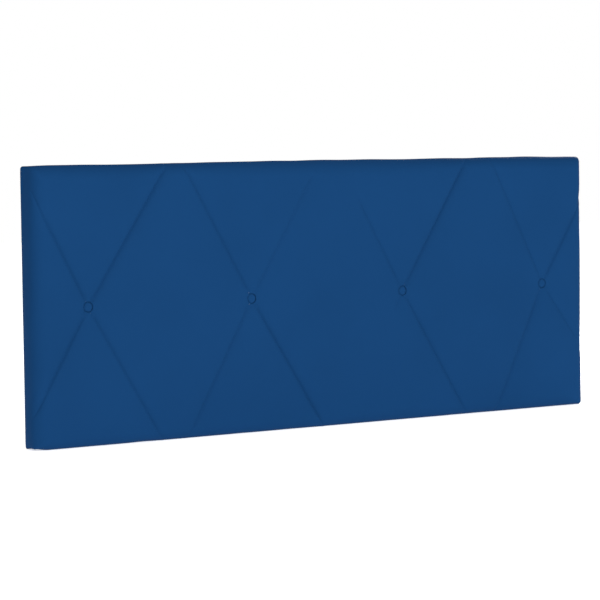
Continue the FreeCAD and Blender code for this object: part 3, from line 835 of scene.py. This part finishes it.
def side_marks(half, spacing):
    """Grid lines across the sheet and its two folded hems, close together at the folds."""
    fold = [half - 2 * MM, half - DUST_LAYER, half, half + DUST_LAYER, half + 2 * MM, half + HEM_WIDTH * 0.5,
            half + HEM_WIDTH]
    margin = 8 * MM  # from the outline to the sheet's edge
    step = [half - (FLANGE_WIDTH - margin) + k * MM for k in (-6, -4, -2, 0, 2)]
    inner = step[0] - 2 * MM
    count = round(2 * inner / spacing)
    middle = [-inner + 2 * inner * i / count for i in range(count + 1)]
    between = [inner + 10 * MM + (half - 2 * MM - inner - 10 * MM) * i / 3 for i in (1, 2)]
    side = step + between + fold
    return [-m for m in reversed(side)] + middle + side


# ---- materials ----
def set_inputs(node, **values):
    """Sets a node's sockets by name, with _ for the spaces."""
    for socket, value in values.items():
        node.inputs[socket.replace("_", " ")].default_value = value


class Nodes:
    """A short way to add and join the nodes of one material."""

    def __init__(self, name, colour, roughness, **sockets):
        self.mat = bpy.data.materials.new(name)
        self.mat.use_nodes = True
        self.tree = self.mat.node_tree
        self.shader = self.tree.nodes["Principled BSDF"]
        set_inputs(self.shader, Base_Color=(*colour, 1), Roughness=roughness, **sockets)
        self.place = self.add("ShaderNodeTexCoord").outputs["Object"]

    def add(self, kind, **settings):
        node = self.tree.nodes.new(kind)
        for key, value in settings.items():
            setattr(node, key, value)
        return node

    def join(self, source, target):
        self.tree.links.new(source, target)

    def stretched(self, scale):
        """The place on the object, with each axis scaled."""
        mapping = self.add("ShaderNodeMapping")
        set_inputs(mapping, Scale=scale)
        self.join(self.place, mapping.inputs["Vector"])
        return mapping.outputs["Vector"]

    def noise(self, scale, detail=3.0, roughness=0.5, place=None):
        node = self.add("ShaderNodeTexNoise")
        set_inputs(node, Scale=scale, Detail=detail, Roughness=roughness)
        self.join(place or self.place, node.inputs["Vector"])
        return node.outputs["Fac"]

    def cells(self, scale, feature="F1", place=None):
        node = self.add("ShaderNodeTexVoronoi", feature=feature)
        set_inputs(node, Scale=scale)
        self.join(place or self.place, node.inputs["Vector"])
        return node.outputs["Distance"]

    def ramp(self, value, stops):
        node = self.add("ShaderNodeValToRGB")
        node.color_ramp.elements[0].position = stops[0][0]
        node.color_ramp.elements[1].position = stops[-1][0]
        for place, colour in stops[1:-1]:
            node.color_ramp.elements.new(place)
        for element, (place, colour) in zip(node.color_ramp.elements, stops):
            element.color = (*colour, 1)
        self.join(value, node.inputs["Fac"])
        return node.outputs["Color"]

    def spread(self, value, low, high, socket):
        """Feeds a socket with the value, whose middle half from 0.25 to 0.75 becomes low to high."""
        node = self.add("ShaderNodeMapRange")
        set_inputs(node, From_Min=0.25, From_Max=0.75, To_Min=low, To_Max=high)
        self.join(value, node.inputs["Value"])
        self.join(node.outputs["Result"], self.shader.inputs[socket])

    def colour(self, value, stops):
        self.join(self.ramp(value, stops), self.shader.inputs["Base Color"])

    def bump(self, layers):
        """Bumps from (height, strength, distance), one on the other."""
        normal = None
        for height, strength, distance in layers:
            node = self.add("ShaderNodeBump")
            set_inputs(node, Strength=strength, Distance=distance)
            self.join(height, node.inputs["Height"])
            if normal:
                self.join(normal, node.inputs["Normal"])
            normal = node.outputs["Normal"]
        self.join(normal, self.shader.inputs["Normal"])


def shade(colour, factor):
    return tuple(min(1.0, c * factor) for c in colour)


LEATHER_BLUE = (0.0066, 0.0433, 0.1330)


def leatherette():
    """Smooth coated cloth: a fine pebble grain, faint clouding and a dull finish."""
    nodes = Nodes("blue_leatherette", LEATHER_BLUE, 0.5, Specular_IOR_Level=0.005)
    cloud = nodes.noise(5.0, 4.0)
    darker, lighter = shade(LEATHER_BLUE, 0.965), shade(LEATHER_BLUE, 1.03)
    nodes.colour(cloud, [(0.30, darker), (0.5, LEATHER_BLUE), (0.72, lighter)])
    nodes.spread(nodes.noise(90.0, 3.0), 0.44, 0.56, "Roughness")
    pebbles = nodes.cells(750.0, "SMOOTH_F1")
    fine_grain = nodes.noise(2600.0, 2.0)
    dents = nodes.noise(30.0, 3.0)
    nodes.bump([(pebbles, 0.22, 0.12 * MM), (fine_grain, 0.15, 0.05 * MM), (dents, 0.10, 0.8 * MM)])
    return nodes.mat


def fibre(name, colour, scale, distance):
    """Matted strands, for the wadding and the foam."""
    nodes = Nodes(name, colour, 0.95, Specular_IOR_Level=0.1)
    strands = nodes.noise(scale, 6.0, 0.7)
    nodes.colour(strands, [(0.3, shade(colour, 0.78)), (0.7, shade(colour, 1.08))])
    nodes.bump([(strands, 0.6, distance), (nodes.cells(scale * 1.6), 0.4, distance * 0.6)])
    return nodes.mat


def spun_cloth():
    """Black spun-bonded sheet: matted fibres pressed together in a fine grid of dots."""
    nodes = Nodes("black_spun_sheet", (0.030, 0.030, 0.032), 0.8, Specular_IOR_Level=0.3)
    matted = nodes.noise(420.0, 6.0, 0.75)
    nodes.colour(matted, [(0.3, (0.020, 0.020, 0.022)), (0.7, (0.052, 0.052, 0.056))])
    dots = nodes.cells(480.0)
    nodes.bump([(dots, 0.5, 0.15 * MM), (matted, 0.5, 0.2 * MM)])
    return nodes.mat


def wood(name, pale, dark, grain_scale):
    """Planed timber with its grain along the axis that grain_scale squeezes least."""
    nodes = Nodes(name, pale, 0.6, Specular_IOR_Level=0.3)
    along = nodes.stretched(grain_scale)
    rings = nodes.noise(1.0, 5.0, 0.55, along)
    wave = nodes.add("ShaderNodeTexWave", wave_type="BANDS", bands_direction="DIAGONAL")
    set_inputs(wave, Scale=1.2, Distortion=7.0, Detail=3.0)
    nodes.join(along, wave.inputs["Vector"])
    mix = nodes.add("ShaderNodeMath", operation="MULTIPLY_ADD")
    mix.inputs[1].default_value = 0.45
    nodes.join(wave.outputs["Fac"], mix.inputs[0])
    nodes.join(rings, mix.inputs[2])
    nodes.colour(mix.outputs[0], [(0.35, pale), (0.62, shade(pale, 0.86)), (0.9, dark)])
    nodes.spread(rings, 0.5, 0.72, "Roughness")
    nodes.bump([(mix.outputs[0], 0.25, 0.25 * MM), (nodes.noise(900.0, 3.0), 0.15, 0.08 * MM)])
    return nodes.mat


def metal(name, colour, roughness, scale):
    """Plated steel: spangled, faintly brushed and dulled in patches."""
    nodes = Nodes(name, colour, roughness, Metallic=1.0)
    patches = nodes.noise(scale, 4.0, 0.6)
    nodes.colour(patches, [(0.3, shade(colour, 0.72)), (0.7, shade(colour, 1.12))])
    nodes.spread(nodes.noise(scale * 6, 3.0), roughness - 0.08, roughness + 0.14, "Roughness")
    nodes.bump([(nodes.noise(scale * 12, 3.0), 0.12, 0.05 * MM)])
    return nodes.mat


def moulded(name, colour, roughness):
    """Moulded rubber or plastic with a light spark-eroded grain."""
    nodes = Nodes(name, colour, roughness, Specular_IOR_Level=0.4)
    dust = nodes.noise(60.0, 4.0)
    nodes.colour(dust, [(0.3, shade(colour, 0.85)), (0.75, shade(colour, 1.35))])
    nodes.spread(nodes.noise(240.0, 2.0), roughness - 0.08, roughness + 0.08, "Roughness")
    nodes.bump([(nodes.noise(2200.0, 2.0), 0.25, 0.06 * MM)])
    return nodes.mat


def waxed_twine():
    """Twisted strands, drawn as fine slanted ridges."""
    nodes = Nodes("waxed_twine", (0.72, 0.66, 0.52), 0.55, Specular_IOR_Level=0.3)
    wave = nodes.add("ShaderNodeTexWave", wave_type="BANDS", bands_direction="DIAGONAL")
    set_inputs(wave, Scale=320.0, Distortion=1.5)
    nodes.join(nodes.place, wave.inputs["Vector"])
    nodes.colour(wave.outputs["Fac"], [(0.2, (0.55, 0.49, 0.37)), (0.8, (0.80, 0.75, 0.62))])
    nodes.bump([(wave.outputs["Fac"], 0.5, 0.25 * MM)])
    return nodes.mat


# how much the wood's pattern is squeezed on each axis: least along the grain
ALONG_X = (2.5, 45.0, 45.0)
ALONG_Z = (45.0, 45.0, 2.5)


def paint_cad_nodes():
    """Gives every CAD part that stays its finish, by the material slot that the record names."""
    pine, pine_dark = (0.66, 0.45, 0.25), (0.40, 0.22, 0.10)
    finishes = {
        "plywood": wood("birch_plywood", (0.68, 0.52, 0.33), (0.50, 0.34, 0.18), ALONG_X),
        "pine": wood("pine_upright", pine, pine_dark, ALONG_Z),
        "zinc_steel": metal("zinc_plated_steel", (0.40, 0.41, 0.42), 0.34, 140.0),
        "staple_steel": metal("staple_wire", (0.55, 0.55, 0.56), 0.32, 300.0),
        "button_metal": metal("pressed_aluminium", (0.72, 0.72, 0.73), 0.34, 200.0),
        "twine": waxed_twine(),
        "washer_plastic": moulded("washer_plastic", (0.030, 0.030, 0.033), 0.45),
        "spacer_plastic": moulded("spacer_plastic", (0.018, 0.018, 0.020), 0.5),
        "rubber": moulded("bumper_rubber", (0.022, 0.022, 0.022), 0.7),
    }
    pine_rail = wood("pine_rail", pine, pine_dark, ALONG_X)
    black_steel = metal("blackened_steel", (0.09, 0.09, 0.10), 0.42, 200.0)
    own_finish = {"top_rail": pine_rail, "bottom_rail": pine_rail,
                  "left_hanger_screws": black_steel, "right_hanger_screws": black_steel}
    for part in frame["record"]["subparts"]:
        if part["material_slot"] in finishes:
            finish = own_finish.get(part["node"], finishes[part["material_slot"]])
            paint(frame["nodes"][part["node"]], finish)


def paint(obj, mat):
    obj.data.materials.clear()
    obj.data.materials.append(mat)


# ---- studio ----
FLOOR_HALF = 9.0
SENSOR_WIDTH = 36  # mm
LENS = 138.2  # mm
CAMERA_PLACE = (-2.7326, FRONT - 4.3994, 0.6569)
CAMERA_YAW, CAMERA_PITCH, CAMERA_ROLL = 31.11, 4.07, -0.63  # degrees: to the right, down, tilted


def make_floor():
    """A white floor that glows a little, like the background."""
    corners = [(x * FLOOR_HALF, y * FLOOR_HALF, 0) for x, y in ((-1, -1), (1, -1), (1, 1), (-1, 1))]
    floor = new_object("floor", corners, [(0, 1, 2, 3)])
    nodes = Nodes("studio_floor", (0.9, 0.9, 0.9), 0.9, Specular_IOR_Level=0.0, Emission_Color=(1, 1, 1, 1),
                  Emission_Strength=0.6)
    paint(floor, nodes.mat)


def make_world():
    """A white studio, bright in front of the headboard and dim behind it."""
    world = bpy.data.worlds.new("studio")
    bpy.context.scene.world = world
    world.use_nodes = True
    tree = world.node_tree
    background = tree.nodes["Background"]
    set_inputs(background, Color=(1, 1, 1, 1))
    direction = tree.nodes.new("ShaderNodeTexCoord").outputs["Generated"]
    towards = tree.nodes.new("ShaderNodeVectorMath")
    towards.operation = "DOT_PRODUCT"
    towards.inputs[1].default_value = Vector((0.0, -0.94, 0.34))
    spread = tree.nodes.new("ShaderNodeMapRange")
    set_inputs(spread, From_Min=-1, From_Max=1, To_Min=0.15, To_Max=1.0)
    seen = tree.nodes.new("ShaderNodeLightPath").outputs["Is Camera Ray"]
    most = tree.nodes.new("ShaderNodeMath")
    most.operation = "MAXIMUM"
    tree.links.new(direction, towards.inputs[0])
    tree.links.new(towards.outputs["Value"], spread.inputs["Value"])
    tree.links.new(spread.outputs["Result"], most.inputs[0])
    tree.links.new(seen, most.inputs[1])
    tree.links.new(most.outputs["Value"], background.inputs["Strength"])


def make_softbox(name, place, aim, size, energy):
    """A rectangular area light, turned to face aim."""
    light = bpy.data.lights.new(name, "AREA")
    light.shape = "RECTANGLE"
    light.size, light.size_y = size
    light.energy = energy
    lamp = bpy.data.objects.new(name, light)
    lamp.location = place
    lamp.rotation_mode = "QUATERNION"
    lamp.rotation_quaternion = (Vector(aim) - lamp.location).to_track_quat("-Z", "Y")
    bpy.context.scene.collection.objects.link(lamp)


def make_lights():
    """The white world, a large softbox in front and a small one for the back."""
    make_world()
    make_softbox("front_softbox", (-0.55, FRONT - 2.9, 1.4), aim=(-0.1, 0, 0.3), size=(2.4, 1.4), energy=34)
    make_softbox("back_softbox", (2.4, 1.3, 1.2), aim=(0, 0.04, 0.3), size=(0.8, 0.8), energy=45)
    bpy.context.scene.view_settings.view_transform = "Standard"


def make_camera():
    """A long lens to the left of the headboard, a little above its top and looking slightly down."""
    yaw, pitch, roll = (math.radians(a) for a in (CAMERA_YAW, CAMERA_PITCH, CAMERA_ROLL))
    forward = Vector((math.sin(yaw) * math.cos(pitch), math.cos(yaw) * math.cos(pitch), -math.sin(pitch)))
    level = Vector((math.cos(yaw), -math.sin(yaw), 0))
    upward = level.cross(forward)
    right = level * math.cos(roll) + upward * math.sin(roll)
    upward = upward * math.cos(roll) - level * math.sin(roll)
    data = bpy.data.cameras.new("camera")
    data.sensor_width = SENSOR_WIDTH
    data.lens = LENS
    data.clip_start = 0.1
    data.clip_end = 60
    camera = bpy.data.objects.new("camera", data)
    turn = Matrix((right, upward, -forward)).transposed().to_4x4()
    camera.matrix_world = Matrix.Translation(CAMERA_PLACE) @ turn
    bpy.context.scene.collection.objects.link(camera)
    bpy.context.scene.camera = camera


make_floor()
make_lights()
make_camera()
swelling = Swelling()
make_cover(swelling)
make_wadding(swelling)
make_foam()
for number in range(1, len(BUTTON_XS) + 1):
    make_button(number)
make_dust_cover()
paint_cad_nodes()
